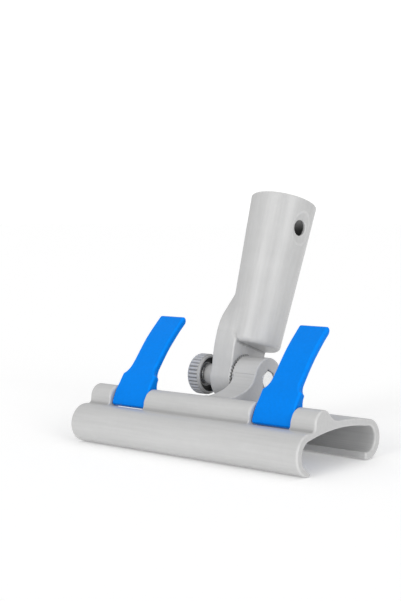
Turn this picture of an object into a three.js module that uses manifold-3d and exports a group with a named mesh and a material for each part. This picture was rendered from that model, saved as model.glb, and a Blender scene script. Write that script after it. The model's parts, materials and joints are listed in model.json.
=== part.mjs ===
// Swivelling pole adapter head that clamps on the back of a wide blade.
// Millimetres, +Z up, X along the clamp's length, Y from the front lip to the rear hook.
// The clamp stands on its two lips at Z = 0.
import * as THREE from 'three';
import { mergeVertices } from 'three/addons/utils/BufferGeometryUtils.js';
import Module from 'manifold-3d';

const wasm = await Module();
wasm.setup();

// ---- driving dimensions ----
const BODY_LEN = 160;           // clamp length along X
const BODY_Y = -20.59;          // middle of the clamp in Y, so that the whole object is centred
const LIP_R = 11;               // outer radius of the front and rear channel walls
const LIP_Z = 11;               // height of their centres
const LIP_Y = 28.4;             // distance of their centres from the clamp's middle
const PIN_Y = -15.6;            // lever pin, from the clamp's middle
const PIN_Z = 25;
const RIDGE_R = 7.4;            // hinge ridge round the pin line
const LEVER_X = 50.9;           // lever centres, left and right of the middle
const LEVER_WIDE = 25.1;
const LEVER_NARROW = 19.1;
const POCKET_W = 26.3;          // lever pocket, with side clearance
const PIN_R = 2;
const PIN_HALF = 18.7;
const PIVOT_Y = 25;             // swivel axis, from the clamp's middle
const PIVOT_Z = 37.85;
const LUG_R = 12.8;
const LUG_X0 = -0.6;            // lug's slab
const LUG_X1 = 15;
const TOOTH_N = 40;             // radial teeth of the swivel
const TOOTH_H = 0.4;            // half height of a tooth at the lug's rim
const TOOTH_X = -1.9;           // middle plane of the lug's teeth
const TOOTH_GAP = 1.1;          // slack between the two toothed faces
const TILT = 19.7 * Math.PI / 180; // backward lean of the pole socket
const ARM_X0 = -17.5;
const ARM_X1 = -2.6;
const ARM_END_R = 13.2;
const ARM_HALF = 15.5;
const TUBE_X = -1.4;            // the socket's axis, beside and behind the pivot
const TUBE_BACK = 0.9;
const TUBE_S0 = 18.8;           // bottom and mouth of the socket, along its axis from the pivot
const TUBE_S1 = 108.3;
const TUBE_R0 = 15.5;
const TUBE_R1 = 19.6;
const BORE_S0 = 25;
const BORE_R0 = 12.2;
const BORE_R1 = 16.3;
const SIDE_HOLE_S = 91.5;
const SIDE_HOLE_R = 4.6;
const SIDE_HOLE_TURN = 7 * Math.PI / 180;
const DIMPLE_R = 26;            // sphere that hollows the wall round the latch hole
const DIMPLE_DEPTH = 1.9;
const DIMPLE_DROP = 1.3;        // how far its middle lies below the hole's
const BOSS_R = 6.3;
const BOSS_X = -28.4;
const BOLT_R = 3;
const HEX_AF = 10;              // across flats of the bolt's head and the nut
const KNOB_R = 12;
const KNOB_X0 = -36.2;
const KNOB_X1 = -27.2;
const KNOB_RIBS = 32;
const GAP = 0.3;

// ---- materials ----
const plasticGrey = { color: 0xc2c2c1, roughness: 0.5, metalness: 0 };
const knobGrey = { color: 0x8f9090, roughness: 0.55, metalness: 0 };
const leverBlue = { color: 0x0078f0, roughness: 0.4, metalness: 0 };
const zinc = { color: 0xd6d8da, roughness: 0.3, metalness: 1 };

// ---- solids and meshes ----
// Merge a closed geometry's shared vertices and make it a solid.
function solid(geometry) {
  const g = geometry.index ? geometry.toNonIndexed() : geometry.clone();
  g.deleteAttribute('uv');
  g.deleteAttribute('normal');
  const m = mergeVertices(g, 1e-4);
  const vertProperties = new Float32Array(m.attributes.position.array);
  const triVerts = new Uint32Array(m.index.array);
  return new wasm.Manifold(new wasm.Mesh({ numProp: 3, vertProperties, triVerts }));
}

// Turn a solid back into a three.js geometry.
function geometryOf(body) {
  const m = body.getMesh();
  const g = new THREE.BufferGeometry();
  g.setAttribute('position', new THREE.BufferAttribute(new Float32Array(m.vertProperties), 3));
  g.setIndex(new THREE.BufferAttribute(new Uint32Array(m.triVerts), 1));
  g.computeVertexNormals();
  return g;
}

function meshOf(name, body, look) {
  const mesh = new THREE.Mesh(geometryOf(body), new THREE.MeshStandardMaterial(look));
  mesh.name = name;
  return mesh;
}

// Points of an arc from a0 to a1 (degrees) about (cy, cz).
function arc(cy, cz, r, a0, a1, n) {
  const out = [];
  for (let i = 0; i <= n; i += 1) {
    const a = (a0 + (a1 - a0) * i / n) * Math.PI / 180;
    out.push([cy + r * Math.cos(a), cz + r * Math.sin(a)]);
  }
  return out;
}

// Points of a quadratic curve from p to q with control point c.
function bend(p, c, q, n) {
  const curve = new THREE.QuadraticBezierCurve(
    new THREE.Vector2(...p), new THREE.Vector2(...c), new THREE.Vector2(...q));
  return curve.getPoints(n).map((v) => [v.x, v.y]);
}

// Points on a shallow arch z = top - k y^2.
function arch(top, k, y0, y1, n) {
  const out = [];
  for (let i = 0; i <= n; i += 1) {
    const y = y0 + (y1 - y0) * i / n;
    out.push([y, top - k * y * y]);
  }
  return out;
}

function shapeOf(points) {
  return new THREE.Shape(points.map((p) => new THREE.Vector2(p[0], p[1])));
}

// Extrude an outline drawn in (Y, Z) along X from x0 to x1.
function alongX(points, x0, x1) {
  const g = new THREE.ExtrudeGeometry(shapeOf(points), { depth: x1 - x0, bevelEnabled: false });
  const m = new THREE.Matrix4().makeBasis(
    new THREE.Vector3(0, 1, 0), new THREE.Vector3(0, 0, 1), new THREE.Vector3(1, 0, 0));
  g.applyMatrix4(m);
  g.translate(x0, 0, 0);
  return g;
}

// A cylinder along X.
function rodX(r, x0, x1, y, z, n = 40) {
  const g = new THREE.CylinderGeometry(r, r, x1 - x0, n);
  g.rotateZ(-Math.PI / 2);
  g.translate((x0 + x1) / 2, y, z);
  return g;
}

// A hexagonal prism along X with corners up and down.
function hexX(af, x0, x1, y, z) {
  const g = new THREE.CylinderGeometry(af / Math.sqrt(3), af / Math.sqrt(3), x1 - x0, 6);
  g.rotateZ(-Math.PI / 2);
  g.translate((x0 + x1) / 2, y, z);
  return g;
}

function box(x0, x1, y0, y1, z0, z1) {
  const g = new THREE.BoxGeometry(x1 - x0, y1 - y0, z1 - z0);
  g.translate((x0 + x1) / 2, (y0 + y1) / 2, (z0 + z1) / 2);
  return g;
}

// A disc along X whose -X face carries radial teeth. Every crest and root line runs through
// the point where the axis crosses the face, so each flank is flat.
function toothedDisc(radius, xFace, thickness) {
  const half = TOOTH_H * radius / LUG_R;
  const profile = [[0, 0], [radius, 0], [radius, thickness], [0, thickness]];
  const g = new THREE.LatheGeometry(profile.map((p) => new THREE.Vector2(...p)), 2 * TOOTH_N);
  const pos = g.attributes.position;
  for (let i = 0; i <= 2 * TOOTH_N; i += 1) {
    pos.setY(i * profile.length + 1, i % 2 === 0 ? -half : half);
  }
  g.rotateZ(-Math.PI / 2);
  g.translate(xFace, PIVOT_Y, PIVOT_Z);
  return g;
}

// ---- clamp body ----
// Section of the clamp: front lip, hinge ridge, arched plate and rear hook.
function clampOutline() {
  return [
    ...arc(-LIP_Y, LIP_Z, LIP_R, 263.8, 84, 26),
    ...bend([-26.3, 21.8], [-23.4, 22.1], [-22.95, 25.6], 5),
    ...arc(PIN_Y, PIN_Z, RIDGE_R, 170, 38, 16),
    ...bend([-9.2, 28.9], [-6.4, 25.7], [-0.6, 25.0], 6),
    ...arch(25, 1 / 272, 2, 26.5, 8),
    ...arc(LIP_Y, LIP_Z, LIP_R, 88, -90, 26),
    [25.9, 0.35],
    [25.1, 1.3],
    [24.9, 4.7],
    ...arc(27.1, 11.4, 7.2, -100, 96, 20),
    ...arch(21, 0.0036, 24.5, -25.5, 16),
    ...arc(-27.2, 10.6, 7.6, 92, 244, 18),
    ...arc(-28.15, 0.95, 0.95, 52, -88, 6),
  ];
}

// Side outline of the swivel lug, sweeping forward onto the ridge.
function lugOutline() {
  return [
    [-13.2, 31.2],
    ...bend([-12.6, 31.75], [9.4, 32.6], [12.2, 41.1], 12),
    ...arc(PIVOT_Y, PIVOT_Z, LUG_R, 160, 0, 24),
    [37.7, 28],
    [37.9, 17.2],
    [36.4, 16.4],
    [30, 20.2],
    [15, 22.8],
    [0, 23.5],
    [-12, 26],
  ];
}

function clampBody() {
  const half = BODY_LEN / 2;
  let body = solid(alongX(clampOutline(), -half, half));
  body = body.add(solid(alongX(lugOutline(), LUG_X0, LUG_X1)));
  body = body.add(solid(toothedDisc(LUG_R, TOOTH_X, 4)));
  for (const side of [-1, 1]) {
    const x0 = side * LEVER_X - POCKET_W / 2;
    const x1 = side * LEVER_X + POCKET_W / 2;
    // room for the lever above the sill, the slot for its cam, and the pin's two blind holes
    body = body.subtract(solid(box(x0, x1, -32, -20, 22.9, 40)));
    body = body.subtract(solid(box(x0, x1, -20.5, 4, 25.15, 40)));
    body = body.subtract(solid(box(x0, x1, -24.1, -6.4, 14, 40)));
    const reach = PIN_HALF + 0.4;
    body = body.subtract(solid(
      rodX(PIN_R + GAP, side * LEVER_X - reach, side * LEVER_X + reach, PIN_Y, PIN_Z, 24)));
  }
  // bolt hole and the hexagonal pocket for its head
  body = body.subtract(solid(rodX(BOLT_R + GAP, -10, 20, PIVOT_Y, PIVOT_Z, 28)));
  body = body.subtract(solid(hexX(HEX_AF + 0.8, LUG_X1 - 4.6, LUG_X1 + 2, PIVOT_Y, PIVOT_Z)));
  return body;
}

// ---- cam levers ----
// Side outline of a lever, measured from its pin: thumb blade, shoulder and cam.
function leverOutline() {
  return [
    [-6.1, -1.5], [-5.2, 0.9], [-2.2, 6.8], [0.4, 11.0], [3.2, 14.9], [6.6, 18.8],
    [10.4, 23.1], [14.5, 28.2], [18.9, 33.4], [23.6, 38.2], [28.6, 42.8], [33.2, 46.8],
    [34.1, 46.9], [34.7, 46.1], [35.1, 44.2], [34.6, 42.6], [33.5, 41.4],
    [29.8, 38.2], [24.7, 33.2], [20.1, 28.4], [15.7, 23.1], [12.1, 18.4], [9.3, 14.7],
    [7.0, 11.8], [5.9, 9.4], [5.7, 6.4], [6.4, 2.6], [6.8, -0.6], [6.5, -2.7], [5.2, -4.7],
    [3.6, -5.2], [1.6, -4.8], [-0.6, -4.5], [-2.8, -4.1], [-4.9, -3.3], [-5.9, -2.4],
  ];
}

// Width of the lever along its length: wide over the cam, narrow at the thumb blade.
function leverPlan() {
  const w = LEVER_WIDE / 2;
  const n = LEVER_NARROW / 2;
  const right = [
    [w, -16], [w, 13.4], ...bend([w - 0.2, 14.0], [n + 0.3, 15.8], [n, 20], 4),
    [n, 56.4], [n - 0.4, 57.2], [n - 1.2, 57.6],
  ];
  const left = right.map((p) => [-p[0], p[1]]).reverse();
  return [...right, ...left];
}

function lever(side) {
  const lean = 54.6 * Math.PI / 180;
  const body = solid(alongX(leverOutline(), -LEVER_WIDE / 2, LEVER_WIDE / 2));
  const plan = new THREE.ExtrudeGeometry(shapeOf(leverPlan()), { depth: 80, bevelEnabled: false });
  plan.translate(0, 0, -40);
  plan.applyMatrix4(new THREE.Matrix4().makeBasis(
    new THREE.Vector3(1, 0, 0),
    new THREE.Vector3(0, Math.cos(lean), Math.sin(lean)),
    new THREE.Vector3(0, -Math.sin(lean), Math.cos(lean))));
  let out = body.intersect(solid(plan));
  out = out.subtract(solid(rodX(PIN_R + GAP, -20, 20, 0, 0, 24)));
  const moved = geometryOf(out);
  moved.translate(side * LEVER_X, PIN_Y, PIN_Z);
  return solid(moved);
}

function leverPin(side) {
  return solid(rodX(PIN_R, side * LEVER_X - PIN_HALF, side * LEVER_X + PIN_HALF, PIN_Y, PIN_Z, 24));
}

// ---- pole socket ----
// Side outline of the arm in the socket's own frame: depth across, height along the axis.
function armOutline() {
  const front = [
    [-13.25, 3], [-14.3, 8], [-15.2, 14], [-ARM_HALF, 19], [-ARM_HALF, 25], [-14.7, 30.5],
    [-13.1, 34.8], [-11.0, 38.4], [-8.4, 42.2], [-5.5, 45.6], [-2.8, 47.8], [0, 48.6],
  ];
  const rear = front.slice(0, -1).map((p) => [-p[0], p[1]]).reverse();
  return [...arc(0, 0, ARM_END_R, 350, 190, 20), ...front, ...rear];
}

// Lean a geometry built upright about the pivot, and set it on the pivot.
function leaned(g) {
  g.rotateX(-TILT);
  g.translate(0, PIVOT_Y, PIVOT_Z);
  return g;
}

// Turn a profile of (radius, height) points round the socket's own axis.
function upright(profile, n) {
  const g = new THREE.LatheGeometry(profile.map((p) => new THREE.Vector2(...p)), n);
  g.rotateX(Math.PI / 2);
  g.translate(TUBE_X, TUBE_BACK, 0);
  return g;
}

function poleSocket() {
  const tube = upright([
    [0, TUBE_S0], [TUBE_R0 - 3.6, TUBE_S0], [TUBE_R0 - 2.0, TUBE_S0 + 0.4],
    [TUBE_R0 - 0.8, TUBE_S0 + 1.5], [TUBE_R0 - 0.05, TUBE_S0 + 3.6],
    [TUBE_R1 - 0.03, TUBE_S1 - 0.6], [TUBE_R1 - 0.6, TUBE_S1], [0, TUBE_S1],
  ], 72);
  const bore = upright([
    [0, BORE_S0], [BORE_R0 - 1, BORE_S0], [BORE_R0, BORE_S0 + 1], [BORE_R1, TUBE_S1 - 0.6],
    [BORE_R1 + 0.7, TUBE_S1 + 1], [0, TUBE_S1 + 1],
  ], 72);
  let out = solid(leaned(tube));
  out = out.add(solid(leaned(alongX(armOutline(), ARM_X0, ARM_X1))));
  out = out.subtract(solid(leaned(bore)));
  // shallow dimple with the latch hole in it, on the right
  const turn = (g) => {
    g.rotateZ(-SIDE_HOLE_TURN);
    g.translate(TUBE_X, TUBE_BACK, 0);
    return leaned(g);
  };
  const wall = TUBE_R0 + (TUBE_R1 - TUBE_R0) * (SIDE_HOLE_S - TUBE_S0) / (TUBE_S1 - TUBE_S0);
  const dimple = new THREE.SphereGeometry(DIMPLE_R, 120, 90);
  dimple.translate(wall - DIMPLE_DEPTH + DIMPLE_R, 0, SIDE_HOLE_S - DIMPLE_DROP);
  out = out.subtract(solid(turn(dimple)));
  out = out.subtract(solid(turn(rodX(SIDE_HOLE_R, 8, 24, 0, SIDE_HOLE_S, 32))));
  // boss towards the knob, bolt hole, and the toothed face
  out = out.add(solid(rodX(BOSS_R, BOSS_X, ARM_X0 + 2, PIVOT_Y, PIVOT_Z, 40)));
  out = out.subtract(solid(rodX(BOLT_R + GAP, -40, 10, PIVOT_Y, PIVOT_Z, 28)));
  out = out.subtract(solid(toothedDisc(ARM_END_R + 0.02, TOOTH_X - TOOTH_GAP, 6)));
  return out;
}

// ---- bolt, washer, knob and nut ----
function pivotBolt() {
  const head = solid(hexX(HEX_AF, LUG_X1 - 4.3, LUG_X1 - 0.3, PIVOT_Y, PIVOT_Z));
  return head.add(solid(rodX(BOLT_R, -35.4, LUG_X1 - 4, PIVOT_Y, PIVOT_Z, 28)));
}

function thrustWasher() {
  const ring = solid(rodX(BOSS_R, -30.2, BOSS_X - GAP, PIVOT_Y, PIVOT_Z, 40));
  return ring.subtract(solid(rodX(BOLT_R + GAP, -40, 0, PIVOT_Y, PIVOT_Z, 28)));
}

function clampKnob() {
  const outline = [];
  for (let i = 0; i < KNOB_RIBS; i += 1) {
    const step = 2 * Math.PI / KNOB_RIBS;
    for (const [f, r] of [[0, KNOB_R], [0.36, KNOB_R], [0.52, KNOB_R - 0.8], [0.84, KNOB_R - 0.8]]) {
      const a = (i + f) * step;
      outline.push([PIVOT_Y + r * Math.cos(a), PIVOT_Z + r * Math.sin(a)]);
    }
  }
  let out = solid(alongX(outline, KNOB_X0, KNOB_X1 - 1.4));
  out = out.add(solid(rodX(KNOB_R - 1, KNOB_X1 - 2, KNOB_X1, PIVOT_Y, PIVOT_Z, 48)));
  out = out.subtract(solid(rodX(KNOB_R - 2.1, -30.5, KNOB_X1 + 2, PIVOT_Y, PIVOT_Z, 48)));
  out = out.subtract(solid(hexX(HEX_AF + 0.7, KNOB_X0 - 2, -31.7, PIVOT_Y, PIVOT_Z)));
  return out.subtract(solid(rodX(BOLT_R + GAP, -40, 0, PIVOT_Y, PIVOT_Z, 28)));
}

function knobNut() {
  const nut = solid(hexX(HEX_AF, KNOB_X0 + 0.2, -32, PIVOT_Y, PIVOT_Z));
  return nut.subtract(solid(rodX(BOLT_R + GAP, -40, 0, PIVOT_Y, PIVOT_Z, 28)));
}

// ---- assembly ----
const group = new THREE.Group();
group.add(meshOf('clamp_body', clampBody(), plasticGrey));
group.add(meshOf('lever_left', lever(-1), leverBlue));
group.add(meshOf('lever_right', lever(1), leverBlue));
group.add(meshOf('lever_pin_left', leverPin(-1), zinc));
group.add(meshOf('lever_pin_right', leverPin(1), zinc));
group.add(meshOf('pole_socket', poleSocket(), plasticGrey));
group.add(meshOf('pivot_bolt', pivotBolt(), zinc));
group.add(meshOf('thrust_washer', thrustWasher(), zinc));
group.add(meshOf('clamp_knob', clampKnob(), knobGrey));
group.add(meshOf('knob_nut', knobNut(), zinc));
group.position.set(0, BODY_Y, 0);

export default group;
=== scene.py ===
# %% [markdown]
# # A pole adapter head for a wide blade
# The real object is a moulded plastic clamp about as long as a hand. Two blue cam levers squeeze it
# onto a blade, and a toothed swivel with a ribbed knob carries a tapered socket for a pole.
# The mechanical model comes first: it is loaded here as a fixed frame, and every piece made below is
# placed from that frame's own boxes and joints, so nothing has to be fitted by eye.

import json
import math

import bpy
import numpy as np
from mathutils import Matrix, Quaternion, Vector


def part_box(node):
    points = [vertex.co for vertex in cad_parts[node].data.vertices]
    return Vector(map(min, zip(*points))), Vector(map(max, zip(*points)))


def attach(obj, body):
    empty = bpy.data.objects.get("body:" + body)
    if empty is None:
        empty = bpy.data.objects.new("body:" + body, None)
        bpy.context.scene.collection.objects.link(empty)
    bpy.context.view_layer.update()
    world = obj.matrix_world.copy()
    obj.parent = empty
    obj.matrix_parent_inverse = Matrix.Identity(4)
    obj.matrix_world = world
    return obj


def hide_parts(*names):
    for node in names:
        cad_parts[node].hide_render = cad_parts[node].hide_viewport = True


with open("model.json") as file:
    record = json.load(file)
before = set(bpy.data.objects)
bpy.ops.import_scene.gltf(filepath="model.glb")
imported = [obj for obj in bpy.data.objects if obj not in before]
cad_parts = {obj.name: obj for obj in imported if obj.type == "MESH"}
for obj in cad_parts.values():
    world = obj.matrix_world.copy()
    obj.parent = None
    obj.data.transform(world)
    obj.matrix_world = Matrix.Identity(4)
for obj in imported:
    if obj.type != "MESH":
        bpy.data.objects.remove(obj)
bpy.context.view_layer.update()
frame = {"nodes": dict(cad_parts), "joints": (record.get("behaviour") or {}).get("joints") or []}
MM = 0.001                      # shapes below are worked out in millimetres


def node_box(node):
    """Lowest and highest corner of a CAD node, in millimetres."""
    low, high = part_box(node)
    return np.array(low) / MM, np.array(high) / MM


def joint_point(name):
    """Where a joint's axis passes, in millimetres."""
    for joint in frame["joints"]:
        if joint["name"] == name:
            return np.array(joint["pos_m"]) / MM
    raise ValueError(name)


clamp_low, clamp_high = node_box("clamp_body")
lever_low, lever_high = node_box("lever_right")
socket_low, socket_high = node_box("pole_socket")
knob_low, knob_high = node_box("clamp_knob")
bolt_low, bolt_high = node_box("pivot_bolt")
pivot = joint_point("socket_tilt")
pin = joint_point("lever_right_close")
MIDDLE_Y = (clamp_low[1] + clamp_high[1]) / 2
PIVOT_Y = pivot[1] - MIDDLE_Y
PIVOT_Z = pivot[2]
PIN_Y = pin[1] - MIDDLE_Y
PIN_Z = pin[2]
print("the clamp's middle is at y =", round(MIDDLE_Y, 2), "mm")
print("from there the swivel is at", PIVOT_Y, PIVOT_Z, "and the lever pins are at", PIN_Y, PIN_Z)

# %% [markdown]
# ## Outlines
# Every moulded part of this object is a flat outline pushed along a direction: the clamp is one
# section along X, the lug and the arm are plates, and a lever is bent in one view and tapered in
# another. So an outline is the first tool. It is a loop of points, with round stretches worked out as
# arcs, and bends as quadratic curves.

# %% Outline helpers
def arc(cy, cz, radius, start, end, count):
    """Points of a circle about (cy, cz) from one angle to another, in degrees."""
    a = np.radians(np.linspace(start, end, count + 1))
    return np.stack([cy + radius * np.cos(a), cz + radius * np.sin(a)], 1)


def bend(first, control, last, count):
    """Points of a quadratic curve: (1-t)^2 first + 2t(1-t) control + t^2 last."""
    t = np.linspace(0, 1, count + 1)[:, None]
    first, control, last = (np.array(p, float) for p in (first, control, last))
    return (1 - t) ** 2 * first + 2 * t * (1 - t) * control + t ** 2 * last


def arch(top, sag, start, end, count):
    """A shallow arch, z = top - sag * y^2."""
    y = np.linspace(start, end, count + 1)
    return np.stack([y, top - sag * y ** 2], 1)


def outline(*stretches):
    """One closed loop from several stretches of points."""
    return np.concatenate([np.atleast_2d(np.array(s, float)) for s in stretches])


def smoothed(points, count):
    """A closed loop through the points: a Catmull-Rom curve, `count` steps between neighbours."""
    p = np.array(points, float)
    before, after, beyond = np.roll(p, 1, 0), np.roll(p, -1, 0), np.roll(p, -2, 0)
    t = (np.arange(count) / count)[None, :, None]
    a, b, c, d = (q[:, None, :] for q in (before, p, after, beyond))
    curve = 0.5 * (2 * b + (c - a) * t + (2 * a - 5 * b + 4 * c - d) * t ** 2
                   + (3 * b - 3 * c + d - a) * t ** 3)
    return curve.reshape(-1, 2)


print("a quarter circle in 3 steps:", np.round(arc(0, 0, 1, 0, 90, 3), 2).tolist())

# %% [markdown]
# ## Shapes as distances
# A moulded part has no sharp corners: lugs flow into the body, and pocket edges are rounded so that
# the tool can be cut. Boolean modifiers leave sharp, ragged joins that a bevel can't round cleanly.
# Instead each shape here is a function of position that gives the distance to its surface, negative
# inside. Joining and cutting are then a minimum and a maximum, and a true round fillet is one
# square root. All of it is worked out on whole arrays at once.

# %% Distance helpers
def outline_distance(p, q, points):
    """Distance in the (p, q) plane to a closed outline: to its nearest edge, negative inside."""
    nearest = np.inf
    inside = False
    for (ap, aq), (bp, bq) in zip(points, np.roll(points, -1, 0)):
        ep, eq = bp - ap, bq - aq
        length2 = ep * ep + eq * eq
        if length2 < 1e-12:
            continue
        wp, wq = p - ap, q - aq
        t = np.clip((wp * ep + wq * eq) / length2, 0, 1)
        nearest = np.minimum(nearest, (wp - ep * t) ** 2 + (wq - eq * t) ** 2)
        level = (aq <= q) != (bq <= q)
        inside = inside ^ (level & (((wp * eq - wq * ep) < 0) == (eq > 0)))
    return np.where(inside, -1.0, 1.0) * np.sqrt(nearest)


def between(x, low, high):
    """Distance to the slab low < x < high."""
    return np.abs(x - (low + high) / 2) - (high - low) / 2


def rounded(a, b, radius):
    """Where both shapes are, with the outer edge between them rounded to a radius."""
    u, v = np.maximum(a + radius, 0), np.maximum(b + radius, 0)
    return np.minimum(-radius, np.maximum(a, b)) + np.hypot(u, v)


def joined(a, b, radius):
    """Both shapes together, with a fillet of a radius in the corner between them."""
    u, v = np.maximum(radius - a, 0), np.maximum(radius - b, 0)
    return np.maximum(radius, np.minimum(a, b)) - np.hypot(u, v)


def melted(a, b, width):
    """Both shapes together, melting into each other: min(a, b) - (width - |a - b|)^2 / (4 width)."""
    return np.minimum(a, b) - np.maximum(width - np.abs(a - b), 0) ** 2 / (4 * width)


def step_up(value, low, high):
    """0 below low, 1 above high, and smooth between: t^2 (3 - 2t)."""
    t = np.clip((value - low) / (high - low), 0, 1)
    return t * t * (3 - 2 * t)


def hexagon(y, z, across_flats):
    """Distance to a hexagon with corners up and down."""
    y, z = np.abs(y), np.abs(z)
    return np.maximum(y, 0.5 * y + math.sqrt(0.75) * z) - across_flats / 2


print("the middle of a 10 mm slab is", between(0, -5, 5), "mm from its surface, which is inside it")

# %% [markdown]
# ## From a distance to a mesh
# The surface is where the distance is zero. Grid lines are laid through space, close together where
# there are small edges and wide apart along plain stretches. Every grid cell that the surface passes
# through gets one vertex, and every grid edge that it crosses gets one quad, which joins the four
# cells round that edge. The vertices are then pushed along the slope until they lie exactly on the
# surface. The slope's own change is kept as an attribute: it is high on a convex edge and negative
# in a crease. The finish uses it for wear and a painted highlight on edges, and for dust and painted shade
# in creases.

# %% Grid lines
SAMPLES = 6000                  # along one axis, to add up the spacing
SPACING_GROWTH = 0.35           # mm of spacing gained for each mm away from a busy stretch


def grid_lines(low, high, fine, coarse, busy):
    """Lines from low to high, `fine` apart in the busy stretches and up to `coarse` apart elsewhere."""
    at = np.linspace(low, high, SAMPLES)
    away = np.min([np.maximum(between(at, a, b), 0) for a, b in busy], 0)
    spacing = np.minimum(fine + SPACING_GROWTH * away, coarse)
    count = np.cumsum((at[1] - at[0]) / spacing)
    return np.interp(np.linspace(count[0], count[-1], int(math.ceil(count[-1])) + 1), count, at)


print("lines from 0 to 8, busy at 0:", np.round(grid_lines(0, 8, 0.5, 2, [(0, 1)]), 1).tolist())

# %% Surface of a distance
SLOPE_STEP = 0.04               # mm, for the slope of a distance
EDGE_STEP = 0.45                # mm, for how sharply the surface turns
PASSES = 3                      # of moving the points onto the surface
LARGEST_MOVE = 0.25             # mm, in one pass
LEAST_STEEP = 0.2               # of a squared slope, so that a flat spot throws no point away
SHARPEST = 1.5                  # edge values past this are cut off


def around(shape, points, step):
    """The distance a small step before and after each point, along each axis."""
    x, y, z = points.T
    return [[shape(x + s * dx, y + s * dy, z + s * dz) for s in (-step, step)]
            for dx, dy, dz in np.eye(3)]


def skin(shape, lines):
    """Vertices, quads and edge values of the surface where shape(x, y, z) is zero."""
    size = tuple(len(axis_lines) for axis_lines in lines)
    x, y, z = np.ix_(*lines)
    field = np.array(np.broadcast_to(shape(x, y, z), size))
    inside = field < 0
    cells = tuple(n - 1 for n in size)
    sums, hits, quads = np.zeros((3, np.prod(cells))), np.zeros(np.prod(cells)), []
    for axis in range(3):
        step = np.eye(3, dtype=int)[axis]
        lower = tuple(slice(0, n - d) for n, d in zip(size, step))
        upper = tuple(slice(d, n) for n, d in zip(size, step))
        edge = np.argwhere(inside[lower] != inside[upper])
        here, there = field[tuple(edge.T)], field[tuple((edge + step).T)]
        share = here / (here - there)
        crossing = np.stack([lines[k][edge[:, k]] for k in range(3)])
        ahead = lines[axis][edge[:, axis] + 1]
        crossing[axis] += share * (ahead - crossing[axis])
        side, up = np.eye(3, dtype=int)[(axis + 1) % 3], np.eye(3, dtype=int)[(axis + 2) % 3]
        ring = [np.ravel_multi_index((edge + a * side + b * up).T, cells)
                for a, b in ((-1, -1), (0, -1), (0, 0), (-1, 0))]
        for cell in ring:
            hits += np.bincount(cell, minlength=len(hits))
            for k in range(3):
                sums[k] += np.bincount(cell, crossing[k], minlength=len(hits))
        quad = np.stack(ring, 1)
        quads.append(np.where((here < 0)[:, None], quad, quad[:, ::-1]))
    used = np.flatnonzero(hits)
    number = np.zeros(len(hits), int)
    number[used] = np.arange(len(used))
    points = (sums[:, used] / hits[used]).T
    for _ in range(PASSES):
        pairs = around(shape, points, SLOPE_STEP)
        slope = np.stack([(b - a) / (2 * SLOPE_STEP) for a, b in pairs], 1)
        steep = np.maximum((slope ** 2).sum(1), LEAST_STEEP)
        move = shape(*points.T) / steep
        points = points - np.clip(move, -LARGEST_MOVE, LARGEST_MOVE)[:, None] * slope
    middle = shape(*points.T)
    turn = sum((a + b - 2 * middle) for a, b in around(shape, points, EDGE_STEP)) / EDGE_STEP ** 2
    return points, number[np.concatenate(quads)].tolist(), np.clip(turn, -SHARPEST, SHARPEST)


ball_lines = [grid_lines(-6, 6, 1, 1, [(-6, 6)])] * 3
ball_points, ball_faces, _ = skin(lambda x, y, z: np.sqrt(x * x + y * y + z * z) - 5, ball_lines)
print("a 5 mm ball has", len(ball_faces), "faces, and its radius is right within",
      np.abs(np.linalg.norm(ball_points, axis=1) - 5).max().round(4), "mm")


# %% Piece helper
def piece(name, points, faces, body, slot, *nodes, edge=None):
    """A finished object from points in millimetres: smooth shaded, riding on its body."""
    mesh = bpy.data.meshes.new(name)
    mesh.from_pydata((np.asarray(points) * MM).tolist(), [], list(faces))
    mesh.polygons.foreach_set("use_smooth", np.ones(len(mesh.polygons), bool))
    edge_layer = mesh.attributes.new("edge", "FLOAT", "POINT")
    edge_layer.data.foreach_set("value", np.zeros(len(points)) if edge is None else edge)
    made = bpy.data.objects.new(name, mesh)
    bpy.context.scene.collection.objects.link(made)
    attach(made, body)
    if nodes:
        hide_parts(*nodes)
    corners = np.asarray(points)
    print(name, len(mesh.polygons), "faces", np.round(corners.min(0), 1), np.round(corners.max(0), 1))
    return made


# %% [markdown]
# ## The swivel's teeth
# Lug and arm meet in a ring of radial teeth, so that the socket can be locked at an angle. A tooth
# is a ridge that runs out from the axis and grows with the radius, so the face is a zigzag in the
# angle whose height is in proportion to the distance from the axis. Both faces use one function,
# which is what makes them mesh.

# %% Tooth face
TOOTH_COUNT = 40
TOOTH_HEIGHT = 0.4              # half of it, at the lug's rim
LUG_RADIUS = 12.8
LUG_TOOTH_X = -1.8              # the middle of the lug's toothed face
ARM_TOOTH_X = -3.1              # and of the arm's, further off, because the knob is loose


def tooth_face(y, z):
    """How far the toothed face stands towards +X: -height * radius * zigzag(angle)."""
    across, up = y - PIVOT_Y, z - PIVOT_Z
    turns = np.arctan2(across, up) * TOOTH_COUNT / (2 * math.pi)
    zigzag = 1 - 4 * np.abs(turns - np.round(turns))
    return -TOOTH_HEIGHT * np.hypot(across, up) / LUG_RADIUS * zigzag


print(TOOTH_COUNT, "teeth,", round(2 * math.pi * LUG_RADIUS / TOOTH_COUNT, 2), "mm apart at the rim")

# %% [markdown]
# ## The clamp body
# One moulding: a channel that grips the blade's back, a barrel-shaped ridge along its front for the
# lever pins, a pocket for each lever, and the lug of the swivel, which sweeps forward onto the
# ridge. The section is an outline along X with its ends rounded. The lug is a second outline, joined
# with a fillet. The pockets are cut out with large rounds at the top of their sides, which catch the
# light on the real part, and with small ones at the sill.

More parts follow.
